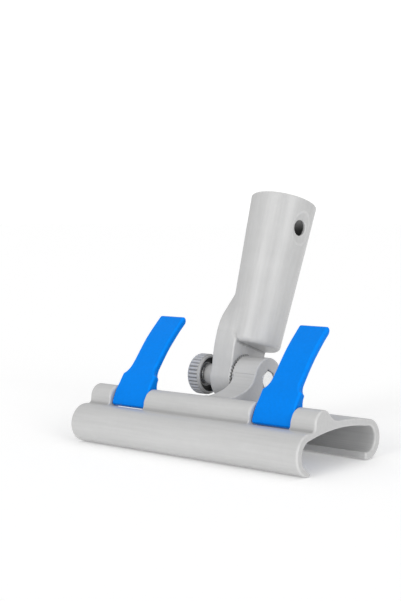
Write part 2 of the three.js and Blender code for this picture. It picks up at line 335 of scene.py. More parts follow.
# %% Clamp outlines
LIP_Y, LIP_Z, LIP_RADIUS = 28.4, 11.0, 11.0
RIDGE_RADIUS = 7.4
LEVER_X = (lever_low[0] + lever_high[0]) / 2
POCKET_WIDE = 26.3
HALF_LENGTH = clamp_high[0]
LUG_LOW, LUG_HIGH = -0.6, 15.0
DISC_END = 3.0                  # where the toothed disc ends, inside the lug
HEX_FLATS = 10.0                # the M6 head, across flats
HEX_PLAY, HEX_DEEP = 0.8, 4.6   # the recess is wider than the head by this, and this deep
BOLT_HOLE = 3.3                 # radius
LUG_BOLT_WAY, ARM_BOLT_WAY = (-10, 20), (-40, 10)   # where the hole runs, past both faces
PIN_HOLE, PIN_REACH = 2.3, 19.1     # radius, and its ends each side of the lever's middle
SILL_Y, SILL_Z = (-34, -20), 22.9   # the flat in front of a lever
BACK_Y, BACK_Z = (-20.5, 4), 25.15  # the flat behind it
SLOT_Y, SLOT_Z = (-24.1, -6.4), (14, 40)    # the way down for the cam
END_ROUND, LUG_ROUND, LUG_FILLET = 0.9, 0.7, 1.6
SILL_ROUND, RIDGE_ROUND = 0.4, 1.3  # of the pocket's edges, low down and on top

clamp_section = outline(
    arc(-LIP_Y, LIP_Z, LIP_RADIUS, 263.8, 84, 60),
    bend([-25.4, 21.8], [-23.3, 21.9], [-23.0, 24.4], 10),
    arc(PIN_Y, PIN_Z, RIDGE_RADIUS, 170, 38, 40),
    bend([-9.2, 28.9], [-6.4, 25.7], [-0.6, 25.0], 10),
    arch(25, 1 / 272, 2, 26.5, 16),
    arc(LIP_Y, LIP_Z, LIP_RADIUS, 88, -90, 60),
    arc(25.9, 1.33, 0.98, -110, -178, 4),
    [[24.9, 4.7]],
    arc(27.1, 11.4, 7.2, -100, 96, 44),
    arch(21, 0.0036, 24.5, -25.5, 24),
    arc(-27.2, 10.6, 7.6, 92, 244, 40),
    arc(-28.15, 0.95, 0.95, 52, -88, 8),
)
lug_side = outline(
    [[-13.2, 31.2]],
    bend([-12.6, 31.75], [9.4, 32.6], [12.2, 41.1], 24),
    arc(PIVOT_Y, PIVOT_Z, LUG_RADIUS, 160, 0, 48),
    [[37.7, 28], [37.9, 17.2], [36.4, 16.4], [30, 20.2], [15, 22.8], [0, 23.5], [-12, 26]],
)
print("clamp section has", len(clamp_section), "points and the lug", len(lug_side))


# %% Clamp shape
def pocket(x, y, z):
    """The room for both levers: above the sill, above the flat behind it, and the slot for the cam."""
    sill = np.maximum(between(y, *SILL_Y), SILL_Z - z)
    back = np.maximum(between(y, *BACK_Y), BACK_Z - z)
    slot = np.maximum(between(y, *SLOT_Y), between(z, *SLOT_Z))
    side = between(np.abs(x), LEVER_X - POCKET_WIDE / 2, LEVER_X + POCKET_WIDE / 2)
    return np.maximum(np.minimum(np.minimum(sill, back), slot), side)


def clamp_shape(x, y, z):
    """Section along X, plus the lug with its teeth, minus pockets, pin holes, bolt hole and hex."""
    y = y - MIDDLE_Y
    ends = between(x, -HALF_LENGTH, HALF_LENGTH)
    body = rounded(outline_distance(y, z, clamp_section), ends, END_ROUND)
    from_axis = np.hypot(y - PIVOT_Y, z - PIVOT_Z)
    lug = rounded(outline_distance(y, z, lug_side), between(x, LUG_LOW, LUG_HIGH), LUG_ROUND)
    toothed = np.maximum(LUG_TOOTH_X + tooth_face(y, z) - x, x - DISC_END)
    disc = np.maximum(from_axis - LUG_RADIUS, toothed)
    shape = joined(body, np.minimum(lug, disc), LUG_FILLET)
    edge_round = SILL_ROUND + (RIDGE_ROUND - SILL_ROUND) * step_up(z, 24.6, 28.5)
    shape = rounded(shape, -pocket(x, y, z), edge_round)
    from_lever = np.abs(np.abs(x) - LEVER_X)
    pin_hole = np.maximum(np.hypot(y - PIN_Y, z - PIN_Z) - PIN_HOLE, from_lever - PIN_REACH)
    bolt_hole = np.maximum(from_axis - BOLT_HOLE, between(x, *LUG_BOLT_WAY))
    hex_room = hexagon(y - PIVOT_Y, z - PIVOT_Z, HEX_FLATS + HEX_PLAY)
    hex_room = np.maximum(hex_room, LUG_HIGH - HEX_DEEP - x)
    shape = np.maximum(shape, -np.minimum(pin_hole, bolt_hole))
    return rounded(shape, -hex_room, 0.35)


# %% Clamp mesh
MARGIN = 1.5                    # mm, of grid past a piece's own box

pocket_sides = [LEVER_X - POCKET_WIDE / 2, LEVER_X + POCKET_WIDE / 2]
busy_x = [(sign * s - 2.8, sign * s + 2.8) for sign in (1, -1) for s in pocket_sides]
busy_x += [(-HALF_LENGTH - 1, 1.6 - HALF_LENGTH), (HALF_LENGTH - 1.6, HALF_LENGTH + 1), (-3.6, 16.2)]
clamp_lines = (
    grid_lines(-HALF_LENGTH - MARGIN, HALF_LENGTH + MARGIN, 0.5, 2.6, busy_x),
    grid_lines(clamp_low[1] - MARGIN, clamp_high[1] + MARGIN, 0.58, 0.8, [(-60, -35), (-10, 20)]),
    grid_lines(-MARGIN, clamp_high[2] + MARGIN, 0.56, 0.6, [(0, 60)]),
)
points, faces, edge = skin(clamp_shape, clamp_lines)
clamp = piece("moulded_clamp", points, faces, "clamp", "grey_plastic", "clamp_body", edge=edge)

# %% [markdown]
# ## The pole socket
# The socket leans back from the swivel. It is a tapered tube with a closed, rounded bottom and a
# tapered bore, carried by a flat arm with a round end. The arm flows into the tube at the top, and a
# short boss on its outside takes the knob's thrust. High on the right is a latch hole in a shallow
# round dimple, where a pole's spring button snaps in. The lean is taken out first, so that the tube
# can be written down as if it stood upright.

# %% Socket outlines
LEAN = math.radians(19.7)
TUBE_X, TUBE_BACK = -1.4, 0.9
TUBE_BOTTOM, TUBE_TOP = 18.8, 108.3
TUBE_THIN, TUBE_WIDE = 15.5, 19.6
BORE_BOTTOM, BORE_THIN, BORE_WIDE = 25.0, 12.2, 16.3
ARM_LOW, ARM_HIGH = -17.5, -2.6
ARM_END, ARM_HALF = 13.2, 15.5
HOLE_UP, HOLE_RADIUS = 91.5, 4.6
HOLE_TURN = math.radians(7)     # from straight right, towards the front
HOLE_FROM = 6.0                 # it starts this far from the tube's middle, so one wall has it
DIMPLE_RADIUS, DIMPLE_DEEP, DIMPLE_DROP = 22.0, 2.3, 1.3
BOSS_RADIUS, BOSS_END = 6.3, socket_low[0]
FOOT_ROUND, RIM_ROUND, ARM_ROUND = 2.6, 0.7, 0.65
ARM_SOFTENS = 6.0               # how much rounder the arm's inner edge is beside the tube
CREASE, MELT = 0.8, 4.7         # how wide arm and tube melt at the foot, and what that gains higher up
BORE_SHADE_DEPTH = 15.0            # mm inside the mouth, where the bore's painted shade is full

arm_front = np.array([
    [-13.25, 3], [-14.3, 8], [-15.2, 14], [-ARM_HALF, 19], [-ARM_HALF, 25], [-14.7, 30.5],
    [-13.1, 34.8], [-11.0, 38.4], [-8.4, 42.2], [-5.5, 45.6], [-2.8, 47.8], [0, 48.6],
])
arm_side = smoothed(outline(
    arc(0, 0, ARM_END, 350, 190, 16), arm_front, (arm_front * [-1, 1])[-2::-1]), 4)


def cone(along, away, low, high, thin, wide):
    """Distance to a cone frustum's side, whose radius grows from thin to wide."""
    slope = (wide - thin) / (high - low)
    return (away - thin - slope * (along - low)) / math.hypot(1, slope)


def leaned(y, z):
    """A point from the pivot, turned back by the lean: how far behind the axis, and how far along it."""
    dy, dz = y - MIDDLE_Y - PIVOT_Y, z - PIVOT_Z
    return dy * math.cos(LEAN) - dz * math.sin(LEAN), dy * math.sin(LEAN) + dz * math.cos(LEAN)


print("the arm's outline has", len(arm_side), "points, and the tube is", TUBE_TOP - TUBE_BOTTOM, "mm long")


# %% Socket shape
def socket_shape(x, y, z):
    """Tube joined to arm and boss, minus bore, dimple, latch hole, bolt hole and toothed face."""
    deep, along = leaned(y, z)
    y = y - MIDDLE_Y
    away = np.hypot(x - TUBE_X, deep - TUBE_BACK)
    side = cone(along, away, TUBE_BOTTOM, TUBE_TOP, TUBE_THIN, TUBE_WIDE)
    tube = rounded(side, TUBE_BOTTOM - along, FOOT_ROUND)
    arm = rounded(outline_distance(deep, along, arm_side), ARM_LOW - x, ARM_ROUND)
    arm = rounded(arm, x - ARM_HIGH, ARM_ROUND + ARM_SOFTENS * step_up(along, 17.5, 26))
    shape = melted(tube, arm, CREASE + MELT * step_up(along, 20, 34))
    bore = cone(along, away, BORE_BOTTOM, TUBE_TOP, BORE_THIN, BORE_WIDE)
    bore = rounded(bore, BORE_BOTTOM - along, 1.0)
    shape = rounded(rounded(shape, along - TUBE_TOP, RIM_ROUND), -bore, 0.5)
    out_x = (x - TUBE_X) * math.cos(HOLE_TURN) - (deep - TUBE_BACK) * math.sin(HOLE_TURN)
    out_y = (x - TUBE_X) * math.sin(HOLE_TURN) + (deep - TUBE_BACK) * math.cos(HOLE_TURN)
    wall = TUBE_THIN + (TUBE_WIDE - TUBE_THIN) * (HOLE_UP - TUBE_BOTTOM) / (TUBE_TOP - TUBE_BOTTOM)
    centre = wall - DIMPLE_DEEP + DIMPLE_RADIUS
    from_centre = np.sqrt((out_x - centre) ** 2 + out_y ** 2 + (along - HOLE_UP + DIMPLE_DROP) ** 2)
    dimple = from_centre - DIMPLE_RADIUS
    hole = np.maximum(np.hypot(out_y, along - HOLE_UP) - HOLE_RADIUS, HOLE_FROM - out_x)
    shape = rounded(rounded(shape, -dimple, 0.35), -hole, 0.4)
    from_axis = np.hypot(y - PIVOT_Y, z - PIVOT_Z)
    boss = rounded(from_axis - BOSS_RADIUS, between(x, BOSS_END, ARM_LOW + 3), 0.4)
    shape = joined(shape, boss, 0.7)
    toothed = np.maximum(from_axis - ARM_END - 0.3, ARM_TOOTH_X + tooth_face(y, z) - x)
    bolt_hole = np.maximum(from_axis - BOLT_HOLE, between(x, *ARM_BOLT_WAY))
    return np.maximum(shape, -np.minimum(toothed, bolt_hole))


# %% Socket mesh
DEEP_SHADE_EDGE = -3.0                   # the edge value that paints deep shade in the bore and the knob's cup


def bore_shade(points):
    """How much painted shade the bore gets: 0 outside it and at its mouth, growing smoothly to 1 at the
    depth where the shade is full.
    """
    x, y, z = points.T
    deep, along = leaned(y, z)
    away = np.hypot(x - TUBE_X, deep - TUBE_BACK)
    outside = cone(along, away, BORE_BOTTOM, TUBE_TOP, BORE_THIN, BORE_WIDE)
    return (outside < 0.4) * (along > BORE_BOTTOM - 1) * step_up(TUBE_TOP - along, 0, BORE_SHADE_DEPTH)


# Fine lines go round the arm's end, round the latch hole and at the rim.
busy_up = [(socket_low[2] - 1, PIVOT_Z + 16), (115, 137), (socket_high[2] - 3, socket_high[2] + 1)]
socket_lines = (
    grid_lines(socket_low[0] - MARGIN, socket_high[0] + MARGIN + 1, 0.6, 0.8, [(-19, 0), (12, 19)]),
    grid_lines(socket_low[1] - MARGIN, socket_high[1] + MARGIN, 0.6, 0.7, [(-20, 25)]),
    grid_lines(socket_low[2] - MARGIN, socket_high[2] + MARGIN, 0.55, 1.2, busy_up),
)
points, faces, edge = skin(socket_shape, socket_lines)
# Painted shade: deep in the bore the edge values go over to the darkest shade value.
edge = edge + (DEEP_SHADE_EDGE - edge) * bore_shade(points)
socket = piece("moulded_socket", points, faces, "socket", "grey_plastic", "pole_socket", edge=edge)

# %% [markdown]
# ## The cam levers
# A lever is a curved thumb blade that thickens into a cam round its pin. Its side view is one loop,
# smoothed, and its front view is another: wide over the cam, with shoulders that step in to a
# narrower blade. The lever is where both are, with the edges between them rounded, and the two
# levers are the same shape in two places.

# %% Lever outlines
lever_side = smoothed([
    [-6.1, -1.5], [-5.2, 0.9], [-2.2, 6.8], [0.4, 11.0], [3.2, 14.9], [6.6, 18.8],
    [10.4, 23.1], [14.5, 28.2], [18.9, 33.4], [23.6, 38.2], [28.6, 42.8], [33.2, 46.8],
    [34.1, 46.9], [34.7, 46.1], [35.1, 44.2], [34.6, 42.6], [33.5, 41.4],
    [29.8, 38.2], [24.7, 33.2], [20.1, 28.4], [15.7, 23.1], [12.1, 18.4], [9.3, 14.7],
    [7.0, 11.8], [5.9, 9.4], [5.7, 6.4], [6.4, 2.6], [6.8, -0.6], [6.5, -2.7], [5.2, -4.7],
    [3.6, -5.2], [1.6, -4.8], [-0.6, -4.5], [-2.8, -4.1], [-4.9, -3.3], [-5.9, -2.4],
], 4)
LEVER_LEAN = math.radians(54.6)
WIDE, NARROW = (lever_high[0] - lever_low[0]) / 2, 9.55
shoulder = bend([WIDE - 0.2, 14.0], [NARROW + 0.3, 15.8], [NARROW, 20], 8)
lever_half = outline([[WIDE, -16], [WIDE, 13.4]], shoulder, [[NARROW, 56.4]],
                     arc(NARROW - 1.2, 56.4, 1.2, 0, 90, 5))
lever_front = outline(lever_half, (lever_half * [-1, 1])[::-1])
print("a lever's side view has", len(lever_side), "points and its front view", len(lever_front))


# %% Lever shape and meshes
HUB_ROUND, BLADE_ROUND = 0.5, 1.4   # of the edges at the cam and along the blade


def lever_shape(x, y, z):
    """Side view and front view of a lever about its pin, with rounded edges, minus the pin's hole."""
    up = y * math.cos(LEVER_LEAN) + z * math.sin(LEVER_LEAN)
    side = outline_distance(y, z, lever_side)
    front = outline_distance(x, up, lever_front)
    soft = HUB_ROUND + (BLADE_ROUND - HUB_ROUND) * step_up(up, 2, 9)
    return np.maximum(rounded(side, front, soft), PIN_HOLE - np.hypot(y, z))


lever_lines = (
    grid_lines(-WIDE - 1, WIDE + 1, 0.4, 2.0, [(-WIDE - 1, -8), (8, WIDE + 1)]),
    grid_lines(-7.5, 36.5, 0.45, 0.5, [(-8, 40)]),
    grid_lines(-6.5, 48.5, 0.45, 0.5, [(-8, 50)]),
)
lever_points, lever_faces, lever_edge = skin(lever_shape, lever_lines)
levers = []
for side, body in ((-1, "lever_l"), (1, "lever_r")):
    word = "left" if side < 0 else "right"
    place = [side * LEVER_X, PIN_Y + MIDDLE_Y, PIN_Z]
    levers.append(piece("cam_lever_" + word, lever_points + place, lever_faces, body, "blue_plastic",
                        "lever_" + word, edge=lever_edge))

# %% [markdown]
# ## Turned pieces
# Knob, bolt, washer and nut are round about the swivel's axis, but not plainly so: the knob has
# ribs, the heads are hexagons with turned corners, and the bolt has a thread. Each is a surface of
# two parameters, the step along a profile and the angle. The radius at a point is the profile's
# radius, changed by the angle where there are ribs, flats or a thread.

# %% Helpers for turned pieces
def turned(x, radius, loop):
    """Points and faces of a surface round the swivel's axis, from x and radius, one row a profile step.

    A looped profile closes on itself, as a ring does. Any other is closed by a point at each end."""
    rows, columns = radius.shape
    angle = 2 * math.pi * np.arange(columns) / columns
    x = np.broadcast_to(x, radius.shape)
    y, z = PIVOT_Y + MIDDLE_Y + radius * np.sin(angle), PIVOT_Z + radius * np.cos(angle)
    points = np.stack([x, y, z], 2).reshape(-1, 3)
    row = np.arange(rows if loop else rows - 1)[:, None]
    column = np.arange(columns)[None, :]
    here, ahead = row * columns, (row + 1) % rows * columns
    following = (column + 1) % columns
    faces = np.stack([here + column, here + following, ahead + following, ahead + column], 2)
    faces = faces.reshape(-1, 4).tolist()
    if not loop:
        axis = [PIVOT_Y + MIDDLE_Y, PIVOT_Z]
        points = np.concatenate([points, [[x[0, 0], *axis], [x[-1, 0], *axis]]])
        first, last, end = rows * columns, rows * columns + 1, (rows - 1) * columns
        ring = range(columns)
        faces += [[first, (c + 1) % columns, c] for c in ring]
        faces += [[last, end + c, end + (c + 1) % columns] for c in ring]
    return points, faces


def hex_factor(angle, corner=0.012):
    """Radius of a hexagon over that of the circle inside it, with its corners cut off a little."""
    step = math.pi / 3
    off = (angle % step) - step / 2
    return np.minimum(1 / np.cos(off), 1 / np.cos(step / 2) - corner)


def profile(*corners, step=0.25):
    """A profile of (x, radius) corners, with extra points `step` to twice `step` mm apart between them."""
    rows = []
    for (x0, r0), (x1, r1) in zip(corners[:-1], corners[1:]):
        count = max(1, int(math.hypot(x1 - x0, r1 - r0) / step))
        t = np.arange(count)[:, None] / count
        rows.append(np.array([x0, r0]) + t * np.array([x1 - x0, r1 - r0]))
    return np.concatenate(rows + [np.array([corners[-1]], float)])


print("a hexagon's corner is", hex_factor(0.0).round(3), "times as far out as the middle of a flat")

# %% [markdown]
# ## The knob
# A ribbed ring with a plain rim towards the arm and a deep cup that hides the washer. On its outer
# side is a hexagonal pocket for the nut. The profile runs once round the ring's wall: out along the
# ribs, over the rim, into the cup, through the bolt hole and back up the hexagonal pocket.

# %% Knob
KNOB_RADIUS = 12.0
KNOB_RIBS = 32
RIB_DEEP = 1.0
KNOB_OUT, KNOB_IN = knob_low[0], knob_high[0]
CUP_FLOOR, POCKET_FLOOR = -30.5, -31.7
POCKET_RADIUS = 5.35            # of the circle inside the nut's pocket

COLUMNS = KNOB_RIBS * 12
knob_angle = 2 * math.pi * np.arange(COLUMNS) / COLUMNS
rib = 0.5 + 0.5 * np.tanh(3 * (np.cos(KNOB_RIBS * knob_angle) + 0.45))
wall = profile(
    (KNOB_OUT, 6.4), (KNOB_OUT, 10.2), (KNOB_OUT + 0.25, 11.2), (KNOB_OUT + 0.9, 11.8),
    (KNOB_OUT + 1.5, KNOB_RADIUS), (KNOB_IN - 1.7, KNOB_RADIUS), (KNOB_IN - 1.4, KNOB_RADIUS - 0.25),
    (KNOB_IN - 1.25, KNOB_RADIUS - 0.75), (KNOB_IN - 1.0, KNOB_RADIUS - 0.7),
    (KNOB_IN - 0.25, KNOB_RADIUS - 0.75), (KNOB_IN, KNOB_RADIUS - 1.05), (KNOB_IN, KNOB_RADIUS - 1.75),
    (KNOB_IN - 0.3, KNOB_RADIUS - 2.1), (CUP_FLOOR + 0.2, KNOB_RADIUS - 2.2),
    (CUP_FLOOR, KNOB_RADIUS - 2.5), (CUP_FLOOR, BOLT_HOLE + 0.3), (CUP_FLOOR - 0.2, BOLT_HOLE),
    (POCKET_FLOOR, BOLT_HOLE), (POCKET_FLOOR, POCKET_RADIUS), (KNOB_OUT + 0.3, POCKET_RADIUS),
    (KNOB_OUT, POCKET_RADIUS + 0.35),
)[:-1]
knob_x, knob_r = wall[:, :1], wall[:, 1:]
ribbed = step_up(knob_x, KNOB_OUT + 0.1, KNOB_OUT + 1.2) * (knob_r > KNOB_RADIUS - 1)
ribbed = ribbed * step_up(-knob_x, 1.45 - KNOB_IN, 1.75 - KNOB_IN)
in_pocket = ((knob_r > 5.2) & (knob_r < 6) & (knob_x < POCKET_FLOOR + 0.1)).astype(float)
knob_radius = knob_r - RIB_DEEP * ribbed * (1 - rib)
knob_radius = knob_radius * hex_factor(knob_angle) ** in_pocket
points, faces = turned(knob_x, knob_radius, loop=True)
# Painted light on the knob: the cup's inside gets deep painted shade, the rib crests a painted highlight
# and the grooves painted shade.
in_cup = (knob_r < KNOB_RADIUS - 2) & (knob_r > 7) & (knob_x > CUP_FLOOR - 0.1)
knob_edge = np.where(in_cup, DEEP_SHADE_EDGE, ribbed * (1.5 * rib - 0.6))
knob = piece("ribbed_knob", points, faces, "knob", "dark_grey_plastic", "clamp_knob",
             edge=np.broadcast_to(knob_edge, knob_radius.shape).ravel())

# %% [markdown]
# ## Bolt, nut and washer
# These are bought steel parts with a zinc finish. A hexagon head is cut from bar and its corners are
# turned off at 30 degrees, so its radius is the smaller of a hexagon and a cone. The bolt's end
# carries a thread of 1 mm pitch: a wave in the distance along it minus the share of a turn.

# %% Hexagon bolt
CHAMFER_FROM = 0.97             # the circle where the chamfer starts, over half the flats


def chamfered_hex(x, radius, angle, ends, flats):
    """Radius of a hexagon across `flats`, limited by a 30 degree cone from each of the ends."""
    start = flats / 2 * CHAMFER_FROM
    limit = np.min([start + np.abs(x - e) / math.tan(math.radians(30)) for e in ends], 0)
    return np.minimum(radius * hex_factor(angle), np.maximum(limit, radius * CHAMFER_FROM))


BOLT_COLUMNS = 96
bolt_angle = 2 * math.pi * np.arange(BOLT_COLUMNS) / BOLT_COLUMNS
SHANK = 3.0                     # radius
THREAD_DEEP = 0.35
HEAD_LOW, HEAD_HIGH = bolt_high[0] - 4.0, bolt_high[0]
THREAD_END = -12.0
shank = profile((bolt_low[0], 0.3), (bolt_low[0], SHANK - 0.7), (bolt_low[0] + 0.7, SHANK), step=0.25)
thread = profile((bolt_low[0] + 0.85, SHANK), (THREAD_END, SHANK), step=0.125)
plain = profile((THREAD_END + 0.5, SHANK), (HEAD_LOW, SHANK), step=3.0)
head = profile((HEAD_LOW, HEX_FLATS / 2), (HEAD_HIGH, HEX_FLATS / 2), (HEAD_HIGH, 4.4), step=0.25)
crown = profile((HEAD_HIGH, 4.2), (HEAD_HIGH - 0.15, 3.8), (HEAD_HIGH - 0.15, 0.3), step=0.4)
rows = np.concatenate([shank, thread, plain, head, crown])
bolt_x, bolt_r = rows[:, :1], rows[:, 1:]
turns = bolt_x - bolt_angle / (2 * math.pi)
groove = THREAD_DEEP * (0.5 - 0.5 * np.cos(2 * math.pi * turns))
threaded = step_up(bolt_x, bolt_low[0] + 0.7, bolt_low[0] + 1.6)
threaded = threaded * step_up(-bolt_x, -THREAD_END, 1 - THREAD_END) * (np.abs(bolt_r - SHANK) < 0.1)
is_head = (bolt_r > 4.3) & (bolt_x > HEAD_LOW - 0.01)
bolt_radius = np.where(is_head, chamfered_hex(bolt_x, bolt_r, bolt_angle, [HEAD_HIGH], HEX_FLATS),
                       bolt_r - groove * threaded)
points, faces = turned(bolt_x, bolt_radius, loop=False)
bolt = piece("hex_bolt", points, faces, "clamp", "zinc_steel", "pivot_bolt")

# %% Nut and washer
nut_low, nut_high = node_box("knob_nut")
NUT_OUT, NUT_IN = nut_low[0], nut_high[0]
rows = profile((NUT_OUT, 3.9), (NUT_OUT, HEX_FLATS / 2), (NUT_IN, HEX_FLATS / 2), (NUT_IN, 3.7),
               (NUT_IN - 0.4, BOLT_HOLE), (NUT_OUT + 0.4, BOLT_HOLE), (NUT_OUT, 3.7), step=0.2)
nut_x, nut_r = rows[:, :1], rows[:, 1:]
outer = chamfered_hex(nut_x, nut_r, bolt_angle, [NUT_OUT, NUT_IN], HEX_FLATS)
points, faces = turned(nut_x, np.where(nut_r > 4.9, outer, nut_r), loop=True)
nut = piece("hex_nut", points, faces, "knob", "zinc_steel", "knob_nut")

washer_low, washer_high = node_box("thrust_washer")
WASHER_OUT, WASHER_IN = washer_low[0], washer_high[0]
rows = profile((WASHER_OUT, BOLT_HOLE), (WASHER_OUT, 6.1), (WASHER_OUT + 0.2, 6.3),
               (WASHER_IN - 0.2, 6.3), (WASHER_IN, 6.1), (WASHER_IN, BOLT_HOLE),
               (WASHER_OUT + 0.05, BOLT_HOLE), step=0.3)
washer_radius = np.repeat(rows[:, 1:], BOLT_COLUMNS, 1)      # the same at every angle
points, faces = turned(rows[:, :1], washer_radius, loop=True)
washer = piece("flat_washer", points, faces, "washer", "zinc_steel", "thrust_washer")

# %% [markdown]
# ## Moulded plastic
# Fresh mouldings are even, but not flat. The steel mould has a fine spark-eroded grain, the colour
# flows as the plastic fills the mould and leaves faint streaks along the piece, edges are polished
# by handling, and creases hold dust. Over that come a painted highlight on convex edges, painted shade
# in creases, and deep painted shade in the bore and the knob's cup. An image could paint all of that,
# but it would need a flat layout of every piece. One node group makes it from position and the edge
# attribute instead, and each plastic gives it its own colour, grain, streaks, wear, highlight and shade.

# %% Node helpers
def give(tree, socket, value):
    """Set a socket to a plain value, or link it to another node's output."""
    if isinstance(value, bpy.types.NodeSocket):
        tree.links.new(value, socket)
    else:
        socket.default_value = value


def combine(tree, operation, first, *others):
    """A row of Math nodes: first and the next value combined, then that and the one after, and so on."""
    for other in others:
        node = tree.nodes.new("ShaderNodeMath")
        node.operation = operation
        give(tree, node.inputs[0], first)
        give(tree, node.inputs[1], other)
        first = node.outputs[0]
    return first


def spread(tree, value, low, high, to_low, to_high):
    """Map Range, clamped: low..high becomes to_low..to_high."""
    node = tree.nodes.new("ShaderNodeMapRange")
    node.clamp = True
    for name, number in (("From Min", low), ("From Max", high), ("To Min", to_low), ("To Max", to_high)):
        node.inputs[name].default_value = number
    tree.links.new(value, node.inputs["Value"])
    return node.outputs[0]


def noise(tree, scale, detail, stretch=(1, 1, 1), turn=(0, 0, 0)):
    """Noise on the object's own coordinates, in metres, `stretch` times longer along each turned axis."""
    place = tree.nodes.new("ShaderNodeTexCoord")
    mapping = tree.nodes.new("ShaderNodeMapping")
    mapping.vector_type = "TEXTURE"
    give(tree, mapping.inputs["Scale"], stretch)
    give(tree, mapping.inputs["Rotation"], turn)
    node = tree.nodes.new("ShaderNodeTexNoise")
    node.inputs["Detail"].default_value = detail
    give(tree, node.inputs["Scale"], scale)
    tree.links.new(place.outputs["Object"], mapping.inputs["Vector"])
    tree.links.new(mapping.outputs["Vector"], node.inputs["Vector"])
    return node.outputs["Fac"]


def bump(tree, shader, height, strength, distance):
    """Let a height move the shader's normals, as if the surface stood up by `distance` metres."""
    raised = tree.nodes.new("ShaderNodeBump")
    raised.inputs["Strength"].default_value = strength
    raised.inputs["Distance"].default_value = distance
    tree.links.new(height, raised.inputs["Height"])
    tree.links.new(raised.outputs["Normal"], shader.inputs["Normal"])


def tinted(tree, colour, factor):
    """A colour multiplied by a grey value."""
    node = tree.nodes.new("ShaderNodeVectorMath")
    node.operation = "SCALE"
    tree.links.new(colour, node.inputs[0])
    tree.links.new(factor, node.inputs["Scale"])
    return node.outputs[0]


def sockets(group, inputs, outputs):
    """Named inputs and outputs of a node group."""
    for name, kind, value in inputs:
        socket = group.interface.new_socket(name, in_out="INPUT", socket_type=kind)
        socket.default_value = value
    for name, kind in outputs:
        group.interface.new_socket(name, in_out="OUTPUT", socket_type=kind)


# %% Moulded plastic group
EDGE_WEAR_AND_HIGHLIGHT_LIFT, WEAR_SMOOTHS = 0.16, 0.08
DUST_ROUGHENS = 0.12
FLOW_HEIGHT = 0.6               # next to the grain's height of 1

moulded = bpy.data.node_groups.new("moulded_finish_and_painted_light", "ShaderNodeTree")
sockets(moulded,
        [("Colour", "NodeSocketColor", (0.5, 0.5, 0.5, 1)), ("Roughness", "NodeSocketFloat", 0.45),
         ("Grain Scale", "NodeSocketFloat", 1800.0), ("Edge", "NodeSocketFloat", 0.0),
         ("Wear", "NodeSocketFloat", 1.0), ("Dust", "NodeSocketFloat", 0.1),
         ("Streak Scale", "NodeSocketVector", (1, 1, 1)), ("Streak Turn", "NodeSocketVector", (0, 0, 0))],
        [("Colour", "NodeSocketColor"), ("Roughness", "NodeSocketFloat"), ("Height", "NodeSocketFloat")])
given = moulded.nodes.new("NodeGroupInput").outputs
result = moulded.nodes.new("NodeGroupOutput").inputs
grain = noise(moulded, given["Grain Scale"], 3.0)
flow = noise(moulded, 55.0, 3.0, (3, 1, 1))
cloud = noise(moulded, 260.0, 4.0)
streak = noise(moulded, 620.0, 2.0, given["Streak Scale"], given["Streak Turn"])

# Edges get wear and a painted highlight in patches, creases get dust and painted shade, and the bore and
# the knob's cup get the darkest painted shade.
edge_wear_and_highlight = combine(moulded, "MULTIPLY", spread(moulded, given["Edge"], 0.3, 1.1, 0, 1),
                 spread(moulded, cloud, 0.35, 0.6, 0.45, 1.0))
crease_dust_and_shade = spread(moulded, given["Edge"], -0.5, -0.12, 1, 0)
hollow_painted_shade = spread(moulded, given["Edge"], -2.8, -1.4, 0.12, 1)

# The tone is near 1. Flow, cloud, grain and streaks change it by a few hundredths each, wear and the
# painted highlight by more.
tone = combine(moulded, "ADD", spread(moulded, flow, 0.3, 0.7, 0.97, 1.02),
               spread(moulded, cloud, 0.3, 0.7, -0.012, 0.012),
               spread(moulded, grain, 0.3, 0.7, -0.015, 0.015),
               combine(moulded, "MULTIPLY", edge_wear_and_highlight, given["Wear"], EDGE_WEAR_AND_HIGHLIGHT_LIFT),
               spread(moulded, streak, 0.3, 0.7, -0.03, 0.03))
# Painted shade: the tone drops in creases, where there is also dust, and drops most in the bore and the
# knob's cup.
tone = combine(moulded, "SUBTRACT", tone, combine(moulded, "MULTIPLY", crease_dust_and_shade, given["Dust"]))
tone = combine(moulded, "MULTIPLY", tone, hollow_painted_shade)
rough = combine(moulded, "ADD", given["Roughness"], spread(moulded, cloud, 0.3, 0.7, -0.03, 0.04))
rough = combine(moulded, "SUBTRACT", rough, combine(moulded, "MULTIPLY", edge_wear_and_highlight, WEAR_SMOOTHS))
rough = combine(moulded, "ADD", rough, combine(moulded, "MULTIPLY", crease_dust_and_shade, DUST_ROUGHENS))
height = combine(moulded, "ADD", grain, combine(moulded, "MULTIPLY", flow, FLOW_HEIGHT))
moulded.links.new(tinted(moulded, given["Colour"], tone), result["Colour"])
moulded.links.new(rough, result["Roughness"])
moulded.links.new(height, result["Height"])
print("moulded finish has", len(moulded.nodes), "nodes")


# %% Plastic materials
PLASTIC_IOR = 1.49
GRAIN_STRENGTH, GRAIN_HEIGHT = 0.5, 0.00006


def plastic(name, colour, gloss, **values):
    """A moulded plastic: the group gives colour, roughness and height to one Principled shader.

    Gloss is the shader's own specular level. The other values go into the group's inputs of the same
    names, such as grain_scale into Grain Scale."""
    material = bpy.data.materials.new(name)
    material.use_nodes = True
    tree = material.node_tree
    shader = tree.nodes["Principled BSDF"]
    finish = tree.nodes.new("ShaderNodeGroup")
    finish.node_tree = moulded
    finish.inputs["Colour"].default_value = (*colour, 1)
    for word, value in values.items():
        finish.inputs[word.replace("_", " ").title()].default_value = value
    edges = tree.nodes.new("ShaderNodeAttribute")
    edges.attribute_name = "edge"
    tree.links.new(edges.outputs["Fac"], finish.inputs["Edge"])
    tree.links.new(finish.outputs["Colour"], shader.inputs["Base Color"])
    tree.links.new(finish.outputs["Roughness"], shader.inputs["Roughness"])
    bump(tree, shader, finish.outputs["Height"], GRAIN_STRENGTH, GRAIN_HEIGHT)
    shader.inputs["IOR"].default_value = PLASTIC_IOR
    shader.inputs["Specular IOR Level"].default_value = gloss
    return material


